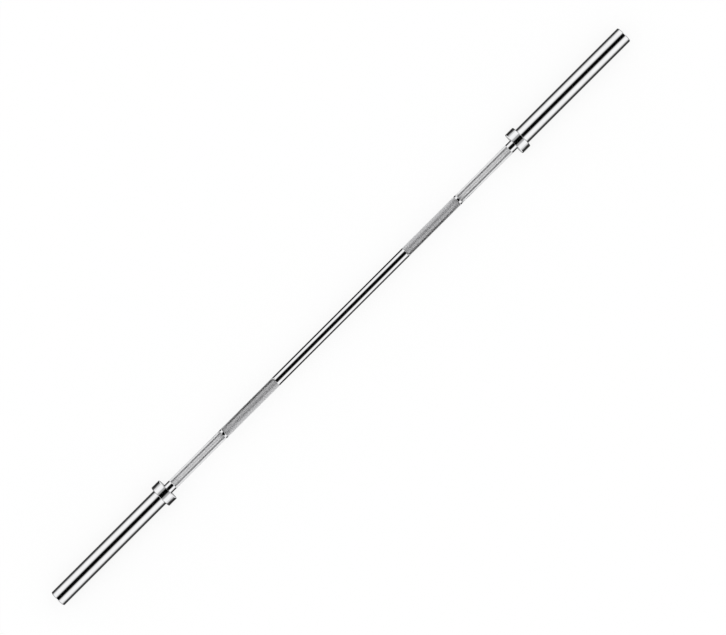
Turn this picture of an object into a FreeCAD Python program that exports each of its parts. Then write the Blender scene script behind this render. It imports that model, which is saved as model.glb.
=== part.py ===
import FreeCAD, Part
import math
import os

# Olympic barbell. Lengths are in millimetres. X runs along the bar, Z points up
# and the origin is the middle of the bar, on its axis. Round sizes are diameters.

# The whole bar
bar_length = 2200.0         # over the outer ends of the two sleeves
collar_spacing = 1344.0     # between the inner faces of the two collars

# The shaft between the collars
grip_diameter = 30.0
smooth_middle = 504.0       # plain stretch between the two inner knurl bands
ring_spacing = 910.0        # between the middles of the two ring marks
ring_width = 5.5            # plain band that parts the two knurls of one hand
neck_length = 19.0          # plain stretch between the outer knurl and the collar
knurl_depth = 0.3           # the bands are turned this much under the grip's radius
knurl_bevel = 0.6           # slope at both ends of a knurl band

# The spindle, which is the turned end of the shaft inside a sleeve
shoulder_height = 2.5       # the spindle's radius is this much under the grip's
neck_entry = 14.0           # how far the full grip diameter runs into the sleeve
shoulder_bevel = 0.5
spindle_bevel = 1.5
spindle_end_room = 4.0      # free room between the spindle's end and the end cap
groove_land = 3.0           # steel left between the ring groove and the spindle's end

# The sleeve
sleeve_diameter = 50.0
bore_room = 2.9             # radial room for grease round the spindle
mouth_room = 1.8            # radial room round the grip in the sleeve's mouth
end_wall = 5.0              # wall left round the end cap
sleeve_end_bevel = 2.0
sleeve_mouth_bevel = 0.5

# The collar
collar_diameter = 70.0
collar_width = 30.0
collar_edge_bevel = 1.5
collar_bore_bevel = 1.4     # on the outer side, so that a plate's bore clears it
collar_seat_depth = 1.0     # the sleeve is turned down this much where the collar sits
collar_relief = 0.4         # the seat runs on this far past the collar, as a fine groove

# The bushings, pressed into the sleeve and running on the spindle
bushing_wall = 3.45
inner_bushing_length = 50.0
outer_bushing_length = 40.0
running_clearance = 0.05    # radial room between spindle and bushing

# The thrust washers, loose on the spindle
washer_thickness = 2.0
washer_clearance = 0.1      # radial room on the spindle
washer_margin = 0.5         # a washer's radius is this much under the bushing's
end_float = 0.3             # room between a washer and its bushing

# The lip seal in the sleeve's mouth
seal_length = 5.0
seal_recess = 1.0           # set back from the sleeve's inner face
seal_lip_clearance = 0.3    # radial room between the lip and the grip
seal_wall_share = 0.5       # wall at the back as a share of the height at the lip

# The retaining ring on the spindle
shaft_ring_thickness = 1.2
shaft_ring_width = 3.2      # radial, opposite the opening
shaft_groove_depth = 0.55
chamber_room = 1.7          # radial room round the ring's ears

# The end cap and the retaining ring that keeps it in
cap_thickness = 4.0
cap_clearance = 0.05        # radial room in the sleeve
cap_bevel = 0.6
cap_ring_thickness = 1.75
cap_ring_width = 4.0        # radial, opposite the opening
cap_groove_depth = 1.25
cap_ring_inset = 2.0        # sleeve left between the groove and the end face
cap_mouth_bevel = 0.8

# Both kinds of retaining ring
groove_play = 0.05          # axial room on each side of a ring in its groove
ring_thin_share = 0.55      # width beside the opening as a share of the full width
ear_share = 0.68            # radius of an ear as a share of the full width
ear_hole_share = 0.45       # radius of the plier hole as a share of the ear's
ear_opening_share = 0.9     # half the opening as a share of the ear's radius

origin = FreeCAD.Vector(0, 0, 0)
along_bar = FreeCAD.Vector(1, 0, 0)
upwards = FreeCAD.Vector(0, 0, 1)

# Stations along the right half of the bar, from the middle outwards
sleeve_start = collar_spacing / 2
sleeve_end = bar_length / 2
collar_end = sleeve_start + collar_width
collar_bore_end = collar_end - collar_bore_bevel
seat_end = collar_end + collar_relief
knurl_start = smooth_middle / 2
ring_inner = (ring_spacing - ring_width) / 2
ring_outer = (ring_spacing + ring_width) / 2
knurl_end = sleeve_start - neck_length
shoulder = sleeve_start + neck_entry
inner_bushing_start = shoulder + washer_thickness + end_float
inner_bushing_end = inner_bushing_start + inner_bushing_length

cap_groove_end = sleeve_end - cap_ring_inset
cap_groove_start = cap_groove_end - cap_ring_thickness - 2 * groove_play
cap_start = cap_groove_start - cap_thickness
spindle_end = cap_start - spindle_end_room
shaft_groove_end = spindle_end - groove_land
shaft_groove_start = shaft_groove_end - shaft_ring_thickness - 2 * groove_play
outer_washer_start = shaft_groove_start - washer_thickness
outer_bushing_end = outer_washer_start - end_float
outer_bushing_start = outer_bushing_end - outer_bushing_length

# Radii
grip = grip_diameter / 2
band = grip - knurl_depth
spindle = grip - shoulder_height
sleeve = sleeve_diameter / 2
collar_seat = sleeve - collar_seat_depth
shaft_groove = spindle - shaft_groove_depth
shaft_ear = shaft_ring_width * ear_share
bore = spindle + bore_room
bushing_bore = spindle + running_clearance
bushing_seat = bushing_bore + bushing_wall
mouth = grip + mouth_room
chamber = shaft_groove + 2 * shaft_ear + chamber_room
cap_seat = sleeve - end_wall
cap_groove = cap_seat + cap_groove_depth


def turned(outline):
    """Turn a closed outline of (station, radius) points about the bar's axis."""
    points = [FreeCAD.Vector(station, 0, radius) for station, radius in outline]
    face = Part.Face(Part.makePolygon(points + points[:1]))
    return face.revolve(origin, along_bar, 360)


def tube(start, end, inner, outer):
    """A plain ring between two stations and two radii."""
    return turned([(start, inner), (start, outer), (end, outer), (end, inner)])


def disc(radius, start, thickness, across=0, up=0):
    """A round plate that faces along the bar."""
    return Part.makeCylinder(radius, thickness, FreeCAD.Vector(start, across, up), along_bar)


def knurl_band(start, end):
    """Outline points of one knurl band, sunk a little under the grip."""
    return [(start, grip), (start + knurl_bevel, band), (end - knurl_bevel, band), (end, grip)]


def make_shaft():
    """The bar itself: grip, ring marks and knurl bands, and a spindle at each end."""
    half = knurl_band(knurl_start, ring_inner) + knurl_band(ring_outer, knurl_end)
    half += [(shoulder - shoulder_bevel, grip), (shoulder, grip - shoulder_bevel)]
    half += [(shoulder, spindle), (shaft_groove_start, spindle), (shaft_groove_start, shaft_groove)]
    half += [(shaft_groove_end, shaft_groove), (shaft_groove_end, spindle)]
    half += [(spindle_end - spindle_bevel, spindle), (spindle_end, spindle - spindle_bevel)]
    half += [(spindle_end, 0)]
    other_half = [(-station, radius) for station, radius in reversed(half)]
    return turned(other_half + half)


def make_sleeve():
    """The plate tube, bored for the bushings, the ring chamber and the end cap."""
    outside = [(sleeve_start, collar_seat - sleeve_mouth_bevel)]
    outside += [(sleeve_start + sleeve_mouth_bevel, collar_seat), (seat_end, collar_seat)]
    outside += [(seat_end, sleeve), (sleeve_end - sleeve_end_bevel, sleeve)]
    outside += [(sleeve_end, sleeve - sleeve_end_bevel)]
    inside = [(sleeve_end, cap_seat + cap_mouth_bevel), (sleeve_end - cap_mouth_bevel, cap_seat)]
    inside += [(cap_groove_end, cap_seat), (cap_groove_end, cap_groove)]
    inside += [(cap_groove_start, cap_groove), (cap_groove_start, cap_seat)]
    inside += [(cap_start, cap_seat), (cap_start, chamber), (outer_bushing_end, chamber)]
    inside += [(outer_bushing_end, bushing_seat), (outer_bushing_start, bushing_seat)]
    inside += [(outer_bushing_start, bore), (inner_bushing_end, bore)]
    inside += [(inner_bushing_end, bushing_seat), (inner_bushing_start, bushing_seat)]
    inside += [(inner_bushing_start, mouth), (sleeve_start, mouth)]
    return turned(outside + inside)


def make_collar():
    """The stop ring, flush with the inner end of the sleeve, with eased edges."""
    outer = collar_diameter / 2
    outline = [(sleeve_start, collar_seat), (sleeve_start, outer - collar_edge_bevel)]
    outline += [(sleeve_start + collar_edge_bevel, outer), (collar_end - collar_edge_bevel, outer)]
    outline += [(collar_end, outer - collar_edge_bevel), (collar_end, collar_seat + collar_bore_bevel)]
    return turned(outline + [(collar_bore_end, collar_seat)])


def make_bushing(start, end):
    """A plain bearing: its outside is pressed in, its inside runs on the spindle."""
    return tube(start, end, bushing_bore, bushing_seat)


def make_washer(start):
    """A thrust washer on the spindle."""
    outer = bushing_seat - washer_margin
    return tube(start, start + washer_thickness, spindle + washer_clearance, outer)


def make_seal():
    """A ring pressed in the mouth, whose bore narrows to a lip at the grip."""
    start = sleeve_start + seal_recess
    end = start + seal_length
    lip = grip + seal_lip_clearance
    wall = (mouth - lip) * seal_wall_share
    return turned([(start, lip), (start, mouth), (end, mouth), (end, mouth - wall)])


def ears(start, thickness, radius, distance):
    """Two round ears beside the opening at the top of a ring, and their plier holes."""
    across = radius * (1 + ear_opening_share)
    up = math.sqrt(distance ** 2 - across ** 2)
    solid = disc(radius, start, thickness, across, up)
    solid = solid.fuse(disc(radius, start, thickness, -across, up))
    hole = radius * ear_hole_share
    holes = disc(hole, start, thickness, across, up).fuse(disc(hole, start, thickness, -across, up))
    return solid, holes


def opening(start, thickness, radius, reach):
    """The slot that parts the two ears of a ring."""
    half = radius * ear_opening_share
    return Part.makeBox(thickness, 2 * half, reach, FreeCAD.Vector(start, -half, 0))


def make_shaft_ring():
    """The open ring in the spindle's groove: widest below, with its ears above."""
    start = shaft_groove_start + groove_play
    thickness = shaft_ring_thickness
    thin = shaft_ring_width * ring_thin_share
    outer = shaft_groove + (shaft_ring_width + thin) / 2
    ear_solid, ear_holes = ears(start, thickness, shaft_ear, shaft_groove + shaft_ear)
    body = disc(outer, start, thickness, 0, -(shaft_ring_width - thin) / 2).fuse(ear_solid)
    body = body.cut(disc(shaft_groove, start, thickness)).cut(ear_holes)
    return body.cut(opening(start, thickness, shaft_ear, 2 * outer)).removeSplitter()


def make_cap_ring():
    """The open ring in the sleeve's groove: widest below, with its ears turned in above."""
    start = cap_groove_start + groove_play
    thickness = cap_ring_thickness
    thin = cap_ring_width * ring_thin_share
    inner = cap_groove - (cap_ring_width + thin) / 2
    ear = cap_ring_width * ear_share
    rim = disc(cap_groove, start, thickness)
    ear_solid, ear_holes = ears(start, thickness, ear, cap_groove - ear)
    body = rim.cut(disc(inner, start, thickness, 0, (cap_ring_width - thin) / 2))
    body = body.fuse(ear_solid.common(rim)).cut(ear_holes)
    return body.cut(opening(start, thickness, ear, 2 * cap_groove)).removeSplitter()


def make_end_cap():
    """The round plate in the sleeve's end, with a bevelled rim."""
    radius = cap_seat - cap_clearance
    face = cap_groove_start
    outline = [(cap_start, 0), (cap_start, radius), (face - cap_bevel, radius)]
    return turned(outline + [(face, radius - cap_bevel), (face, 0)])


def solid_of(shape):
    """The one solid that a shape holds."""
    return shape.Solids[0] if shape.Solids else shape


os.makedirs("parts", exist_ok=True)
solid_of(make_shaft()).exportStep("parts/shaft.step")

one_side = {
    "sleeve": make_sleeve(),
    "collar": make_collar(),
    "inner_bushing": make_bushing(inner_bushing_start, inner_bushing_end),
    "outer_bushing": make_bushing(outer_bushing_start, outer_bushing_end),
    "inner_thrust_washer": make_washer(shoulder),
    "outer_thrust_washer": make_washer(outer_washer_start),
    "shaft_retaining_ring": make_shaft_ring(),
    "sleeve_seal": make_seal(),
    "end_cap": make_end_cap(),
    "end_cap_ring": make_cap_ring(),
}

# The left end carries the same pieces as the right, turned half round
for side, turn in (("right", 0), ("left", 180)):
    for name, shape in one_side.items():
        placed = solid_of(shape).copy()
        placed.rotate(origin, upwards, turn)
        placed.exportStep("parts/" + side + "_" + name + ".step")
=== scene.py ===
# %% [markdown]
# Olympic barbell, dressed for its portrait
#
# A barbell is a steel shaft with a sleeve turning on each end. The packed
# solids already hold every piece in its place, so this lesson loads them and
# adds what solids leave out: fine round surfaces, cut knurling, real finishes,
# a white studio and a camera straight above the bar.

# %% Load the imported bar
import bmesh
import bpy
import math
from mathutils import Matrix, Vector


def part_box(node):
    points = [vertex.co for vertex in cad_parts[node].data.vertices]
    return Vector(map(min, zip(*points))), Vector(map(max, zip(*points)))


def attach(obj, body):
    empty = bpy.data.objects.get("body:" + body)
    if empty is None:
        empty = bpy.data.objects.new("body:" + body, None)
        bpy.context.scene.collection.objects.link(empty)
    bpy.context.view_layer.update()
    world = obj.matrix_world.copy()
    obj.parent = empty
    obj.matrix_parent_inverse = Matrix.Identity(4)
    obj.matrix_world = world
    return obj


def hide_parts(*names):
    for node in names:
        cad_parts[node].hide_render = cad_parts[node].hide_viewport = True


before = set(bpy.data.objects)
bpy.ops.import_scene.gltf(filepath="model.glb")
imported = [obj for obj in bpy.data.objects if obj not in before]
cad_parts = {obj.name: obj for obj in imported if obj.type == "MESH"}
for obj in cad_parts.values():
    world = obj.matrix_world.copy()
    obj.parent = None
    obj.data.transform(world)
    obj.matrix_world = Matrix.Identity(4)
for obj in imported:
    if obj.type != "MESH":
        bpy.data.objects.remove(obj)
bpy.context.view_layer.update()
print("pieces in the frame:", len(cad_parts))

# %% [markdown]
# Sizes of the real bar
#
# Lengths are in metres and run along X from the middle of the bar. Places that
# the frame can tell are read from it, so that the dressed bar always fits its
# solids. The stations of the knurl, the ring marks and the grooves lie inside a
# piece, where a box can't show them, so they are named here.

# %% Sizes read from the frame
millimetre = 0.001
grip_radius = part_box("shaft")[1].z
spindle_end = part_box("shaft")[1].x
collar_start, collar_end = (corner.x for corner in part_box("right_collar"))
collar_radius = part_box("right_collar")[1].z
sleeve_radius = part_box("right_sleeve")[1].z
bar_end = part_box("right_sleeve")[1].x
cap_back, cap_face = (corner.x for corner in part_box("right_end_cap"))
cap_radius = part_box("right_end_cap")[1].z
seal_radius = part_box("right_sleeve_seal")[1].z
inner_bushing = [corner.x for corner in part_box("right_inner_bushing")]
outer_bushing = [corner.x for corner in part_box("right_outer_bushing")]
bushing_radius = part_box("right_inner_bushing")[1].z
ring_groove = [corner.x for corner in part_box("right_shaft_retaining_ring")]
floor_height = -collar_radius
print("grip and sleeve radius in mm:", grip_radius / millimetre, sleeve_radius / millimetre)

# %% Stations along the shaft
knurl_start = 252 * millimetre
ring_start = 452.25 * millimetre
ring_end = 457.75 * millimetre
knurl_end = 653 * millimetre
knurl_root = grip_radius - 0.3 * millimetre
knurl_slope = 0.6 * millimetre
shoulder = 686 * millimetre
spindle_radius = 12.5 * millimetre
groove_radius = 11.95 * millimetre
print("knurl of one hand in mm:", round((knurl_end - knurl_start) / millimetre))

# %% [markdown]
# Turning an outline, as on a lathe
#
# Every large piece of the bar is turned, so each one starts as half an outline.
# A plane is merged to one point, the point is extruded along the outline, and
# the line is spun about the bar's axis. A cylinder could be scaled and cut
# instead, but an outline keeps every step at its exact size. Corners that a
# hand or a plate touches are rounded in the outline, before it is spun.

# %% A helper that turns an outline into a round piece
rounding_steps = 3
merge_distance = 0.001 * millimetre


def turn_piece(name, outline, steps, eased=(), easing=0.0):
    """Spin an outline of (station, radius) points, rounding the corners named in eased."""
    bpy.ops.object.select_all(action="DESELECT")
    bpy.ops.mesh.primitive_plane_add(size=grip_radius)
    piece = bpy.context.object
    piece.name = piece.data.name = name
    bpy.ops.object.mode_set(mode="EDIT")
    bpy.ops.mesh.select_mode(type="VERT")
    bpy.ops.mesh.select_all(action="SELECT")
    bpy.ops.mesh.merge(type="CENTER")
    station, radius = outline[0]
    bpy.ops.transform.translate(value=(station, 0, radius))
    for next_station, next_radius in outline[1:]:
        step = (next_station - station, 0, next_radius - radius)
        bpy.ops.mesh.extrude_vertices_move(TRANSFORM_OT_translate={"value": step})
        station, radius = next_station, next_radius
    if eased:
        line = bmesh.from_edit_mesh(piece.data)
        line.verts.ensure_lookup_table()
        for number, vertex in enumerate(line.verts):
            vertex.select_set(number in eased)
        bpy.ops.mesh.bevel(offset=easing, segments=rounding_steps, affect="VERTICES")
    bpy.ops.mesh.select_all(action="SELECT")
    bpy.ops.mesh.spin(steps=steps, angle=2 * math.pi, center=(0, 0, 0), axis=(1, 0, 0))
    bpy.ops.mesh.select_all(action="SELECT")
    bpy.ops.mesh.remove_doubles(threshold=merge_distance)
    bpy.ops.mesh.normals_make_consistent(inside=False)
    bpy.ops.object.mode_set(mode="OBJECT")
    return piece


# %% A helper that shades a turned piece
favour_large_faces = 100


def pick_only(piece):
    """Select one piece and nothing else."""
    bpy.ops.object.select_all(action="DESELECT")
    piece.select_set(True)
    bpy.context.view_layer.objects.active = piece


def shade_turned(piece, degrees):
    """Smooth the round faces, keep sharp edges crisp and flat faces flat."""
    pick_only(piece)
    bpy.ops.object.shade_smooth_by_angle(angle=math.radians(degrees))
    even = piece.modifiers.new("even shading", "WEIGHTED_NORMAL")
    even.weight = favour_large_faces
    even.keep_sharp = True
    bpy.ops.object.modifier_apply(modifier=even.name)


# %% [markdown]
# The shaft
#
# One bar of steel runs from end to end. Its middle is polished, four bands on
# it are knurled, and two narrow rings between the bands show the hands where
# to go. Inside the sleeves it is turned down to a spindle, with a groove for
# the ring that keeps the sleeve on. Both halves are alike, so the outline of
# one half is drawn and then mirrored.

# %% Turn the shaft
around = 60


def band_outline(start, end):
    """A knurl band lies a little under the grip, with a short slope at each end."""
    return [(start, grip_radius), (start + knurl_slope, knurl_root),
            (end - knurl_slope, knurl_root), (end, grip_radius)]


half = band_outline(knurl_start, ring_start) + band_outline(ring_end, knurl_end)
half += [(shoulder, grip_radius), (shoulder, spindle_radius)]
half += [(ring_groove[0], spindle_radius), (ring_groove[0], groove_radius)]
half += [(ring_groove[1], groove_radius), (ring_groove[1], spindle_radius)]
half += [(spindle_end, spindle_radius), (spindle_end, 0)]
mirrored = [(-station, radius) for station, radius in reversed(half)]
shaft = turn_piece("bar_shaft", mirrored + half, around)
print("shaft faces before the knurl:", len(shaft.data.polygons))

# %% [markdown]
# The knurl
#
# A knurl is two sets of spiral grooves that leave rows of small pyramids. A
# bump in the finish could fake it, but real faces catch light by their shape
# and are there for a printer too. Each band is first cut into rows of oblong
# faces. Poking them and dissolving the old edges turns the oblongs into
# diamonds, and poking the diamonds outwards raises the pyramids.

# %% Helpers that pick what lies in a band
def pick_edges(bar, wanted):
    """Select the edges whose two stations fit."""
    bpy.ops.mesh.select_mode(type="EDGE")
    bpy.ops.mesh.select_all(action="DESELECT")
    mesh = bmesh.from_edit_mesh(bar.data)
    for edge in mesh.edges:
        edge.select_set(wanted(*sorted(vertex.co.x for vertex in edge.verts)))


def pick_faces(bar, start, end, finish):
    """Select the four-cornered faces of a band, give them its finish and count them."""
    bpy.ops.mesh.select_mode(type="FACE")
    bpy.ops.mesh.select_all(action="DESELECT")
    mesh = bmesh.from_edit_mesh(bar.data)
    picked = [face for face in mesh.faces if len(face.verts) == 4
              and start < face.calc_center_median().x < end]
    for face in picked:
        face.select_set(True)
        face.material_index = finish
    return len(picked)


# %% A helper that cuts one knurl band
slack = 0.1


def cut_knurl(bar, start, end, rows, tooth, finish):
    """Raise diamond teeth on the faces of a bar between two stations."""
    pitch = (end - start) / rows

    def on_row(station):
        place = (station - start) / pitch
        return abs(place - round(place)) < slack and -slack < place < rows + slack

    def old_edge(low, high):
        at_rim = high - start < slack * pitch or end - low < slack * pitch
        return on_row(low) and on_row(high) and not at_rim

    bpy.context.view_layer.objects.active = bar
    bpy.ops.object.mode_set(mode="EDIT")
    pick_edges(bar, lambda low, high: high - low > end - start - pitch
               and abs(low - start) < pitch and abs(high - end) < pitch)
    bpy.ops.mesh.subdivide(number_cuts=rows - 1)
    pick_faces(bar, start, end, finish)
    bpy.ops.mesh.poke()
    pick_edges(bar, old_edge)
    bpy.ops.mesh.dissolve_edges(use_verts=False)
    teeth = pick_faces(bar, start, end, finish)
    bpy.ops.mesh.poke(offset=tooth)
    bpy.ops.object.mode_set(mode="OBJECT")
    return teeth


# %% Cut the four bands
inner_pitch = 3.0 * millimetre
outer_pitch = 2.4 * millimetre
inner_tooth = 0.50 * millimetre
outer_tooth = 0.52 * millimetre
smooth_finish, inner_finish, outer_finish = 0, 1, 2
tooth_crease = 25

for side in (1, -1):
    for first, last, pitch, tooth, finish in (
            (knurl_start, ring_start, inner_pitch, inner_tooth, inner_finish),
            (ring_end, knurl_end, outer_pitch, outer_tooth, outer_finish)):
        low, high = sorted((side * (first + knurl_slope), side * (last - knurl_slope)))
        rows = round((high - low) / pitch)
        print("teeth cut:", cut_knurl(shaft, low, high, rows, tooth, finish))
shade_turned(shaft, tooth_crease)
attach(shaft, "shaft")
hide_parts("shaft")

# %% [markdown]
# The sleeves
#
# A sleeve is a tube that the plates slide on. Its outer end has a broad bevel,
# and its bore steps out there to hold the end cap. Further in, it is bored for
# the two bushings. Drilling a cylinder with a chain of Boolean cuts would leave
# ragged rims, so the whole section is drawn and spun. It is turned once, and
# the left sleeve is a copy turned end for end.

# %% The section of a sleeve
fine_around = 96
rim_crease = 30
seat_radius = sleeve_radius - 1.0 * millimetre
relief = 0.4 * millimetre
end_bevel = 2.0 * millimetre
lip_bevel = 0.8 * millimetre
sleeve_easing = 0.4 * millimetre
cap_bore = cap_radius + 0.05 * millimetre
snap_groove = cap_bore + 1.25 * millimetre
snap_groove_end = bar_end - 2.0 * millimetre
ring_chamber = 18.0 * millimetre
grease_bore = 15.4 * millimetre

sleeve_outline = [
    (collar_start, seal_radius), (collar_start, seat_radius),
    (collar_end + relief, seat_radius), (collar_end + relief, sleeve_radius),
    (bar_end - end_bevel, sleeve_radius), (bar_end, sleeve_radius - end_bevel),
    (bar_end, cap_bore + lip_bevel), (bar_end - lip_bevel, cap_bore),
    (snap_groove_end, cap_bore), (snap_groove_end, snap_groove),
    (cap_face, snap_groove), (cap_face, cap_bore),
    (cap_back, cap_bore), (cap_back, ring_chamber),
    (outer_bushing[1], ring_chamber), (outer_bushing[1], bushing_radius),
    (outer_bushing[0], bushing_radius), (outer_bushing[0], grease_bore),
    (inner_bushing[1], grease_bore), (inner_bushing[1], bushing_radius),
    (inner_bushing[0], bushing_radius), (inner_bushing[0], seal_radius),
    (collar_start, seal_radius),
]
end_corners = (4, 5, 6, 7)
print("corners in a sleeve's section:", len(sleeve_outline) - 1)


# %% Turn the sleeves
def copy_to_left(piece, name):
    """A copy for the other end: its mesh is turned half round about the upright axis."""
    pick_only(piece)
    bpy.ops.object.duplicate(linked=False)
    twin = bpy.context.object
    twin.name = twin.data.name = name
    bpy.ops.object.mode_set(mode="EDIT")
    bpy.ops.mesh.select_all(action="SELECT")
    bpy.ops.transform.rotate(value=math.pi, orient_axis="Z", center_override=(0, 0, 0))
    bpy.ops.object.mode_set(mode="OBJECT")
    return twin


right_sleeve = turn_piece("right_plate_sleeve", sleeve_outline, fine_around,
                          eased=end_corners, easing=sleeve_easing)
left_sleeve = copy_to_left(right_sleeve, "left_plate_sleeve")
for side, sleeve in (("right", right_sleeve), ("left", left_sleeve)):
    shade_turned(sleeve, rim_crease)
    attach(sleeve, side + "_sleeve")
    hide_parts(side + "_sleeve")
print("sleeve faces:", len(right_sleeve.data.polygons))

# %% [markdown]
# The collars
#
# A collar is a heavy ring pressed on the inner end of its sleeve. The first
# plate leans on its outer face, so that face is flat and both rims are eased.
# It is a piece of its own, as on the real bar, and turned as the sleeve is.

# %% Turn the collars
rim_bevel = 1.5 * millimetre
bore_bevel = 1.4 * millimetre
collar_easing = 0.5 * millimetre
collar_outline = [
    (collar_start, seat_radius), (collar_start, collar_radius - rim_bevel),
    (collar_start + rim_bevel, collar_radius), (collar_end - rim_bevel, collar_radius),
    (collar_end, collar_radius - rim_bevel), (collar_end, seat_radius + bore_bevel),
    (collar_end - bore_bevel, seat_radius), (collar_start, seat_radius),
]
rim_corners = (1, 2, 3, 4)
right_collar = turn_piece("right_stop_collar", collar_outline, fine_around,
                          eased=rim_corners, easing=collar_easing)
left_collar = copy_to_left(right_collar, "left_stop_collar")
for side, collar in (("right", right_collar), ("left", left_collar)):
    shade_turned(collar, rim_crease)
    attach(collar, side + "_sleeve")
    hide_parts(side + "_collar")
print("collar faces:", len(right_collar.data.polygons))

# %% [markdown]
# Finishes
#
# Chrome is a mirror, so most of its look is the room around it. Fine cloth and
# plate marks still break the mirror a little: a stretched noise changes the
# roughness along the bar, and a broad one tints it. One even colour would be
# simpler, but it looks like plastic. Each finish reads Object coordinates,
# which stay put when the piece moves.

# %% Helpers for noise and colour ramps
def noise_marks(nodes, links, stretch):
    """A noise in the piece's own coordinates, finer where the stretch is larger."""
    place = nodes.new("ShaderNodeTexCoord")
    scale = nodes.new("ShaderNodeMapping")
    scale.inputs["Scale"].default_value = stretch
    marks = nodes.new("ShaderNodeTexNoise")
    marks.inputs["Scale"].default_value = 1
    marks.inputs["Detail"].default_value = 4
    links.new(place.outputs["Object"], scale.inputs["Vector"])
    links.new(scale.outputs["Vector"], marks.inputs["Vector"])
    return marks.outputs["Fac"]


def colour_ramp(nodes, stops):
    """A colour ramp with its (position, colour) stops in rising order."""
    ramp = nodes.new("ShaderNodeValToRGB")
    elements = ramp.color_ramp.elements
    while len(elements) < len(stops):
        elements.new(0.5)
    for element, (position, colour) in zip(elements, stops):
        element.position = position
        element.color = (*colour, 1)
    return ramp


# %% A helper for a surface with fine marks
cloud_stretch = (40, 40, 40)
cloud_range = (0.35, 0.65)
mark_range = (0.3, 0.7)


def marked_surface(name, metallic, roughness, spread, stretch, relief=0.0):
    """A finish whose roughness follows fine marks, which may be a little raised."""
    finish = bpy.data.materials.new(name)
    finish.use_nodes = True
    nodes, links = finish.node_tree.nodes, finish.node_tree.links
    shader = nodes["Principled BSDF"]
    shader.inputs["Metallic"].default_value = metallic
    marks = noise_marks(nodes, links, stretch)
    amount = nodes.new("ShaderNodeMapRange")
    amount.inputs["From Min"].default_value, amount.inputs["From Max"].default_value = mark_range
    amount.inputs["To Min"].default_value = roughness - spread
    amount.inputs["To Max"].default_value = roughness + spread
    links.new(marks, amount.inputs["Value"])
    links.new(amount.outputs["Result"], shader.inputs["Roughness"])
    if relief:
        bump = nodes.new("ShaderNodeBump")
        bump.inputs["Distance"].default_value = relief
        links.new(marks, bump.inputs["Height"])
        links.new(bump.outputs["Normal"], shader.inputs["Normal"])
    return finish


def tint_clouds(finish, dull, bright):
    """Colour a finish in broad clouds between two shades."""
    nodes, links = finish.node_tree.nodes, finish.node_tree.links
    clouds = noise_marks(nodes, links, cloud_stretch)
    tint = colour_ramp(nodes, list(zip(cloud_range, (dull, bright))))
    links.new(clouds, tint.inputs["Fac"])
    links.new(tint.outputs["Color"], nodes["Principled BSDF"].inputs["Base Color"])


# %% [markdown]
# Rings of the lathe
#
# A tool that faces the end of a turning piece leaves very fine rings round its
# axis. They are far too fine to model, so a wave of rings about X is used as a
# bump. On a round outside the wave doesn't change, so only flat faces show it.

# %% A helper that adds turning rings
waves_in_a_unit = 20 / (2 * math.pi)


def add_turning_rings(finish, spacing, depth):
    """Shallow rings round the bar's axis."""
    nodes, links = finish.node_tree.nodes, finish.node_tree.links
    place = nodes.new("ShaderNodeTexCoord")
    rings = nodes.new("ShaderNodeTexWave")
    rings.wave_type = "RINGS"
    rings.rings_direction = "X"
    rings.inputs["Scale"].default_value = 1 / (waves_in_a_unit * spacing)
    rings.inputs["Distortion"].default_value = 0.4
    bump = nodes.new("ShaderNodeBump")
    bump.inputs["Distance"].default_value = depth
    links.new(place.outputs["Object"], rings.inputs["Vector"])
    links.new(rings.outputs["Fac"], bump.inputs["Height"])
    links.new(bump.outputs["Normal"], nodes["Principled BSDF"].inputs["Normal"])


# %% [markdown]
# Painted shade and wear in the knurl's roots
#
# Hands polish the points of a knurl and leave its roots dull, and the roots are
# darkened further as painted shade in the hollows between the teeth. A painted
# mask would have to follow thousands of teeth. The distance from the bar's axis
# already tells points from roots, so the colour follows that.

# %% A helper that darkens the roots with wear and painted shade
def shade_and_dull_roots(finish, tooth, polished_unshaded_share, dull, bright):
    """Colour a knurl from painted shade and dull wear at its roots up to the share of a tooth that
    hands polish.
    """
    nodes, links = finish.node_tree.nodes, finish.node_tree.links
    place = nodes.new("ShaderNodeTexCoord")
    section = nodes.new("ShaderNodeMapping")
    section.inputs["Scale"].default_value = (0, 1, 1)
    radius = nodes.new("ShaderNodeVectorMath")
    radius.operation = "LENGTH"
    depth = nodes.new("ShaderNodeMapRange")
    depth.inputs["From Min"].default_value = knurl_root
    depth.inputs["From Max"].default_value = knurl_root + tooth
    tint = colour_ramp(nodes, ((0.0, dull), (polished_unshaded_share, bright)))
    links.new(place.outputs["Object"], section.inputs["Vector"])
    links.new(section.outputs["Vector"], radius.inputs[0])
    links.new(radius.outputs["Value"], depth.inputs["Value"])
    links.new(depth.outputs["Result"], tint.inputs["Fac"])
    links.new(tint.outputs["Color"], nodes["Principled BSDF"].inputs["Base Color"])


# %% [markdown]
# The chrome
#
# Shaft, sleeves and collars are plated alike. They differ in the way of their
# marks: along the shaft from hands and cloth, round the sleeves and collars
# from turning plates. The knurl is the same plating on rougher ground.

# %% Mix the chrome
metal = 1
chrome_dull, chrome_bright = (0.90, 0.90, 0.91), (0.94, 0.94, 0.95)
shaft_chrome = marked_surface("shaft chrome", metal, 0.06, 0.03, (60, 400, 400))
sleeve_chrome = marked_surface("sleeve chrome", metal, 0.05, 0.03, (700, 60, 60))
collar_chrome = marked_surface("collar chrome", metal, 0.06, 0.03, (900, 60, 60))
for finish in (shaft_chrome, sleeve_chrome, collar_chrome):
    tint_clouds(finish, chrome_dull, chrome_bright)
add_turning_rings(collar_chrome, 0.4 * millimetre, 0.001 * millimetre)

inner_knurl = marked_surface("inner knurl chrome", metal, 0.40, 0.08, (90, 90, 90))
outer_knurl = marked_surface("outer knurl chrome", metal, 0.14, 0.05, (90, 90, 90))
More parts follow.
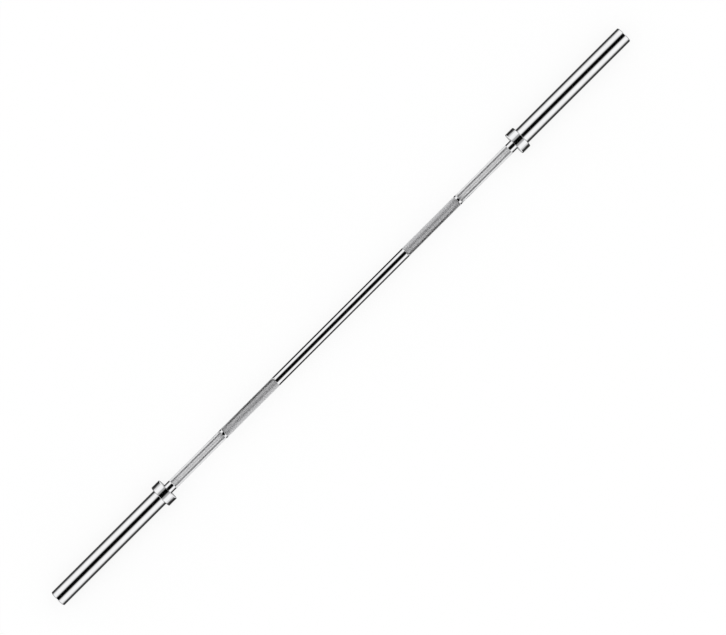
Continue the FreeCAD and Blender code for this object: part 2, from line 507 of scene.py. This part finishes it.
# The dark root colours here are partly wear and partly painted shade in the hollows of the knurl.
shade_and_dull_roots(inner_knurl, inner_tooth, 0.6, (0.33, 0.33, 0.34), (0.94, 0.94, 0.95))
shade_and_dull_roots(outer_knurl, outer_tooth, 0.5, (0.77, 0.77, 0.78), (0.98, 0.98, 0.99))
for finish in (shaft_chrome, sleeve_chrome, collar_chrome, inner_knurl, outer_knurl):
    print("nodes in", finish.name + ":", len(finish.node_tree.nodes))

# %% [markdown]
# What is inside a sleeve
#
# The bushings are oiled bronze, the washers ground steel, the open rings dark
# spring steel, the seal rubber and the end cap satin steel. These small pieces
# keep their solids' meshes, which are round enough, and only get a finish.

# %% Mix the other finishes
fine_relief = 0.02 * millimetre
soft_relief = 0.05 * millimetre
bronze = marked_surface("oiled bronze", metal, 0.30, 0.12, (300, 300, 300), fine_relief)
washer_steel = marked_surface("ground washer steel", metal, 0.30, 0.08, (900, 200, 200))
spring_steel = marked_surface("dark spring steel", metal, 0.42, 0.12, (700, 700, 700), fine_relief)
cap_steel = marked_surface("satin cap steel", metal, 0.28, 0.08, (600, 500, 500))
rubber = marked_surface("seal rubber", 0, 0.60, 0.10, (800, 800, 800), soft_relief)
tint_clouds(bronze, (0.48, 0.29, 0.12), (0.66, 0.43, 0.20))
tint_clouds(washer_steel, (0.50, 0.50, 0.51), (0.60, 0.60, 0.61))
tint_clouds(spring_steel, (0.07, 0.07, 0.08), (0.13, 0.13, 0.14))
tint_clouds(cap_steel, (0.54, 0.54, 0.56), (0.62, 0.62, 0.64))
tint_clouds(rubber, (0.015, 0.015, 0.015), (0.030, 0.030, 0.030))
add_turning_rings(cap_steel, 0.5 * millimetre, 0.008 * millimetre)
add_turning_rings(washer_steel, 0.4 * millimetre, 0.006 * millimetre)
for finish in (bronze, washer_steel, spring_steel, cap_steel, rubber):
    print("nodes in", finish.name + ":", len(finish.node_tree.nodes))

# %% Put the finishes on
shaft_finishes = {smooth_finish: shaft_chrome, inner_finish: inner_knurl, outer_finish: outer_knurl}
for place in sorted(shaft_finishes):
    shaft.data.materials.append(shaft_finishes[place])
for pieces, finish in (((right_sleeve, left_sleeve), sleeve_chrome),
                       ((right_collar, left_collar), collar_chrome)):
    for piece in pieces:
        piece.data.materials.append(finish)

node_finishes = {
    "inner_bushing": bronze, "outer_bushing": bronze,
    "inner_thrust_washer": washer_steel, "outer_thrust_washer": washer_steel,
    "shaft_retaining_ring": spring_steel, "end_cap_ring": spring_steel,
    "end_cap": cap_steel, "sleeve_seal": rubber,
}
for side in ("right", "left"):
    for name, finish in node_finishes.items():
        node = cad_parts[side + "_" + name]
        node.data.materials.clear()
        node.data.materials.append(finish)
print("solids with a finish:", 2 * len(node_finishes))

# %% [markdown]
# The white room
#
# The room is white all round and lights the bar softly, as a light tent does.
# Lamps would leave small hot spots on chrome, so there are none. Mirrors alone
# see the room a little greyer towards its horizon and towards the two ends of
# the bar: without that, the sides of polished metal melt into a white
# background when the bar is seen at a slant.

# %% What mirrors see of the room
def grey(level):
    """A grey of one level."""
    return (level, level, level)


horizon_shades = ((0.0, 0.6), (0.105, 0.74), (0.21, 0.95), (0.30, 1.0))
end_shades = ((0.0, 1.0), (0.25, 1.0), (0.45, 0.82), (0.75, 0.82), (1.0, 0.62))
world = bpy.data.worlds.new("white room")
bpy.context.scene.world = world
world.use_nodes = True
nodes, links = world.node_tree.nodes, world.node_tree.links
direction = nodes.new("ShaderNodeTexCoord")
parts = nodes.new("ShaderNodeSeparateXYZ")
climb = colour_ramp(nodes, [(height, grey(level)) for height, level in horizon_shades])
aside = nodes.new("ShaderNodeMath")
aside.operation = "ABSOLUTE"
ends = colour_ramp(nodes, [(share, grey(level)) for share, level in end_shades])
product = nodes.new("ShaderNodeVectorMath")
product.operation = "MULTIPLY"
links.new(direction.outputs["Generated"], parts.inputs["Vector"])
links.new(parts.outputs["Z"], climb.inputs["Fac"])
links.new(parts.outputs["X"], aside.inputs[0])
links.new(aside.outputs["Value"], ends.inputs["Fac"])
links.new(climb.outputs["Color"], product.inputs[0])
links.new(ends.outputs["Color"], product.inputs[1])
print("level in mirrors at the horizon, across and along the bar:",
      horizon_shades[0][1], round(horizon_shades[0][1] * end_shades[-1][1], 2))

# %% White for all the rest
rays = nodes.new("ShaderNodeLightPath")
room = nodes.new("ShaderNodeMix")
room.data_type = "RGBA"
mirror_share, all_white, seen_in_mirrors = (room.inputs[place] for place in (0, 6, 7))
room_colour = room.outputs[2]
all_white.default_value = (1, 1, 1, 1)
links.new(rays.outputs["Is Glossy Ray"], mirror_share)
links.new(product.outputs["Vector"], seen_in_mirrors)
links.new(room_colour, nodes["Background"].inputs["Color"])
print("strength of the room's light:", nodes["Background"].inputs["Strength"].default_value)

# %% [markdown]
# The white floor
#
# The bar lies on a white floor, on the rims of its collars. A plain white floor
# under a white room still comes out greyer than the room. So the camera and
# mirrors see a glow of its own as well, and the rest of its white is lit by
# the room, which keeps a faint shadow under the bar.

# %% White floor under the collars
floor_size = 60
floor_glow = 0.8
bpy.ops.object.select_all(action="DESELECT")
bpy.ops.mesh.primitive_plane_add(size=floor_size, location=(0, 0, floor_height))
floor = bpy.context.object
floor.name = "studio_floor"
white = bpy.data.materials.new("white floor")
white.use_nodes = True
nodes, links = white.node_tree.nodes, white.node_tree.links
nodes.clear()
matt = nodes.new("ShaderNodeBsdfDiffuse")
matt.inputs["Color"].default_value = (*grey(1 - floor_glow), 1)
glow = nodes.new("ShaderNodeEmission")
rays = nodes.new("ShaderNodeLightPath")
opaque = nodes.new("ShaderNodeMath")
opaque.operation = "MAXIMUM"
seen = nodes.new("ShaderNodeMath")
seen.operation = "MAXIMUM"
level = nodes.new("ShaderNodeMath")
level.operation = "MULTIPLY"
level.inputs[1].default_value = floor_glow
both = nodes.new("ShaderNodeAddShader")
out = nodes.new("ShaderNodeOutputMaterial")
links.new(rays.outputs["Is Camera Ray"], opaque.inputs[0])
links.new(rays.outputs["Is Glossy Ray"], opaque.inputs[1])
links.new(opaque.outputs["Value"], seen.inputs[0])
links.new(rays.outputs["Is Transmission Ray"], seen.inputs[1])
links.new(seen.outputs["Value"], level.inputs[0])
links.new(level.outputs["Value"], glow.inputs["Strength"])
links.new(matt.outputs["BSDF"], both.inputs[0])
links.new(glow.outputs["Emission"], both.inputs[1])
links.new(both.outputs["Shader"], out.inputs["Surface"])
floor.data.materials.append(white)
print("floor height in mm:", round(floor_height / millimetre, 1))

# %% [markdown]
# Cards for the chrome
#
# A mirror in a white room is white. Photographers hang dark cards round
# polished metal to draw its form, and so does this lesson. Painting the dark
# lines on the bar would be wrong from every other side. Only mirrors see the
# cards: the camera, the shadows and the soft light pass through them.

# %% A helper that hangs one card
flat = (0, 0, 0)
upright = (0, math.pi / 2, 0)
sides = ((1, "right"), (-1, "left"))


def hang_card(name, middle, half_length, half_width, turn, shades):
    """A card along the bar, shaded across its width by (share of half width, level)."""
    bpy.ops.object.select_all(action="DESELECT")
    bpy.ops.mesh.primitive_plane_add(size=2, location=middle, rotation=turn)
    card = bpy.context.object
    card.name = name
    card.scale = (half_length, half_width, 1)
    card.visible_camera = card.visible_diffuse = card.visible_shadow = False
    card.visible_transmission = False
    paint = bpy.data.materials.new(name)
    paint.use_nodes = True
    nodes, links = paint.node_tree.nodes, paint.node_tree.links
    nodes.clear()
    place = nodes.new("ShaderNodeTexCoord")
    parts = nodes.new("ShaderNodeSeparateXYZ")
    aside = nodes.new("ShaderNodeMath")
    aside.operation = "ABSOLUTE"
    ramp = colour_ramp(nodes, [(share, grey(level)) for share, level in shades])
    glow = nodes.new("ShaderNodeEmission")
    out = nodes.new("ShaderNodeOutputMaterial")
    links.new(place.outputs["Object"], parts.inputs["Vector"])
    links.new(parts.outputs["Y"], aside.inputs[0])
    links.new(aside.outputs["Value"], ramp.inputs["Fac"])
    links.new(ramp.outputs["Color"], glow.inputs["Color"])
    links.new(glow.outputs["Emission"], out.inputs["Surface"])
    card.data.materials.append(paint)
    print("card:", name)


# %% [markdown]
# Cards over the bar
#
# A card over a round bar gives the black line along its top. Seen from above, a
# point on the bar that faces some degrees aside mirrors what lies at twice
# those degrees. So the shades are given by degrees from straight up, and a
# little trigonometry finds where they lie on a card at its height.

# %% Hang the cards over the bar
middle_gap = 0.005
smooth_gap = 0.02
knurl_gap = 0.04
beyond = 0.4
wide_shades = ((0, 0.0), (27, 0.0), (36, 0.35), (42, 0.8), (50, 1.0))
narrow_shades = ((0, 0.0), (17, 0.0), (25, 0.43), (31, 0.8), (37, 0.93), (50, 1.0))
soft_shades = ((0, 0.0), (17, 0.0), (24, 0.38), (36, 0.45), (41, 0.87), (50, 1.0))


def hang_over(name, start, end, radius, gap, shades):
    """A card over a stretch of the bar, its shades given by degrees from straight up."""
    def seen_at(degrees):
        turn = math.radians(degrees)
        rise = radius + gap - radius * math.cos(turn / 2)
        return radius * math.sin(turn / 2) + rise * math.tan(turn)

    widest = seen_at(shades[-1][0])
    shares = [(seen_at(degrees) / widest, level) for degrees, level in shades]
    hang_card(name, ((start + end) / 2, 0, radius + gap), (end - start) / 2, widest, flat, shares)


hang_over("card_over_middle", -knurl_start, knurl_start, grip_radius, middle_gap, wide_shades)
for side, name in sides:
    for what, first, last, radius, gap, shades in (
            ("ring", ring_start, ring_end, grip_radius, smooth_gap, wide_shades),
            ("knurl", ring_end, knurl_end, grip_radius, knurl_gap, narrow_shades),
            ("neck", knurl_end, collar_start, grip_radius, smooth_gap, wide_shades),
            ("collar", knurl_end, collar_end, collar_radius, smooth_gap, soft_shades),
            ("sleeve", collar_end, bar_end + beyond, sleeve_radius, smooth_gap, narrow_shades)):
        low, high = sorted((side * first, side * last))
        hang_over("card_over_%s_%s" % (name, what), low, high, radius, gap, shades)

# %% [markdown]
# Cards along the floor
#
# The flanks of a round bar mirror the floor beside it. Dark cards on the floor
# give the thin lines along the bar's edges, and they fade to white further
# out. Their shades are given by metres from the bar. A few cards run on past
# their stretch, because a camera above the middle sees the ends mirror what
# lies further out.

# %% Lay the cards along the floor
floor_card_height = floor_height + 1 * millimetre
floor_reach = 3.0
past_end = 0.05
past_ring = 0.012
past_middle = 0.006
middle_reach = knurl_start + past_middle
grip_floor = ((0.0, 0.4), (0.022, 0.4), (0.028, 0.0), (0.18, 0.0), (0.37, 0.2), (0.8, 0.6),
              (1.6, 0.9), (floor_reach, 1.0))
sleeve_floor = ((0.0, 0.5), (0.035, 0.5), (0.045, 0.04), (0.15, 0.05), (0.22, 0.11), (0.44, 0.3),
                (0.8, 0.65), (1.6, 0.9), (floor_reach, 1.0))
collar_floor = ((0.0, 0.3), (0.05, 0.3), (0.06, 0.02), (0.16, 0.02), (0.20, 0.2), (0.25, 0.34),
                (0.5, 0.38), (floor_reach, 0.45))
end_floor = ((0.0, 0.4), (0.3, 0.4), (1.5, 1.0), (floor_reach, 1.0))

floor_stretches = [("middle", -middle_reach, middle_reach, grip_floor)]
for side, name in sides:
    for what, first, last, shades in (
            ("ring", ring_start, ring_end + past_ring, grip_floor),
            ("neck", knurl_end, collar_start, grip_floor),
            ("collar", collar_start, collar_end, collar_floor),
            ("sleeve", collar_end, bar_end + past_end, sleeve_floor),
            ("end", bar_end + past_end, bar_end + beyond, end_floor)):
        low, high = sorted((side * first, side * last))
        floor_stretches.append((name + "_" + what, low, high, shades))
for name, low, high, shades in floor_stretches:
    hang_card("floor_card_" + name, ((low + high) / 2, 0, floor_card_height), (high - low) / 2,
              floor_reach, flat, [(reach / floor_reach, level) for reach, level in shades])

# %% [markdown]
# Cards beside the inner knurl
#
# The inner knurl is dark along one edge and light along the other, and at the
# other end of the bar it is the other way round. A level card over one side of
# it does that. Its teeth also look along the bar, so a small upright card
# closes the gap at the end of the level one.

# %% Hang the cards beside the inner knurl
side_card_height = 0.045
side_card_edges = (0.010, 0.170)
side_card_shades = ((0, 0.02), (0.94, 0.05), (1, 0.4))
side_card_middle = sum(side_card_edges) / 2
side_card_half = (side_card_edges[1] - side_card_edges[0]) / 2
closing_middle, closing_height = 0.029, 0.030
closing_half_height, closing_half_width = 0.015, 0.021
for side, name in sides:
    middle = (side * (knurl_start + ring_start) / 2, -side * side_card_middle, side_card_height)
    hang_card("side_card_" + name, middle, (ring_start - knurl_start) / 2, side_card_half,
              flat, side_card_shades)
    hang_card("side_end_card_" + name, (side * knurl_start, -side * closing_middle, closing_height),
              closing_half_height, closing_half_width, upright, side_card_shades)

# %% [markdown]
# Upright cards
#
# Bevels, rims and the sloping faces of the teeth look along the bar. Upright
# cards stand across its line for them: one past each end of the bar, one facing
# the inner rim of each collar, and one at each ring mark, where the outer knurl
# begins.

# %% Stand the upright cards
end_card_shades = ((0, 0.0), (0.4, 0.05), (0.7, 0.5), (1, 1.0))
rim_card_shades = ((0, 0.0), (0.55, 0.05), (0.8, 0.5), (1, 1.0))
ring_card_shades = ((0, 0.0), (0.33, 0.0), (0.45, 0.43), (0.57, 0.8), (0.71, 0.93), (1, 1.0))
for side, name in sides:
    for what, station, middle, half_height, half_width, shades in (
            ("end", bar_end + beyond, 0.04, 0.03, 0.25, end_card_shades),
            ("rim", knurl_end, 0.05, 0.025, 0.022, rim_card_shades),
            ("ring", ring_end, grip_radius + knurl_gap / 2, knurl_gap / 2, 0.035, ring_card_shades)):
        hang_card("%s_card_%s" % (what, name), (side * station, 0, middle), half_height, half_width,
                  upright, shades)

# %% [markdown]
# The camera
#
# The photograph looks squarely down on the bar, which runs from lower left to
# upper right. A long lens far away keeps both ends the same size. The camera
# moves aside by what the bar's middle lies off the picture's middle, which
# needs no lens shift.

# %% Camera straight above the bar
image_width, image_height = 726, 635
pixel = 2.751 * millimetre
bar_slope = math.radians(44.917)
middle_right = 340.9 - image_width / 2
middle_down = 316.77 - image_height / 2
lens = 200
sensor = 36
height = lens / sensor * image_width * pixel

camera_data = bpy.data.cameras.new("camera")
camera_data.lens = lens
camera_data.sensor_width = sensor
camera_data.clip_end = 100
camera = bpy.data.objects.new("camera", camera_data)
bpy.context.scene.collection.objects.link(camera)
across = -middle_right * pixel
up = middle_down * pixel
camera.location = (across * math.cos(bar_slope) + up * math.sin(bar_slope),
                   up * math.cos(bar_slope) - across * math.sin(bar_slope), height)
camera.rotation_euler = (0, 0, -bar_slope)
bpy.context.scene.camera = camera
bpy.context.scene.view_settings.view_transform = "Standard"
print("camera height in m:", round(height, 2))
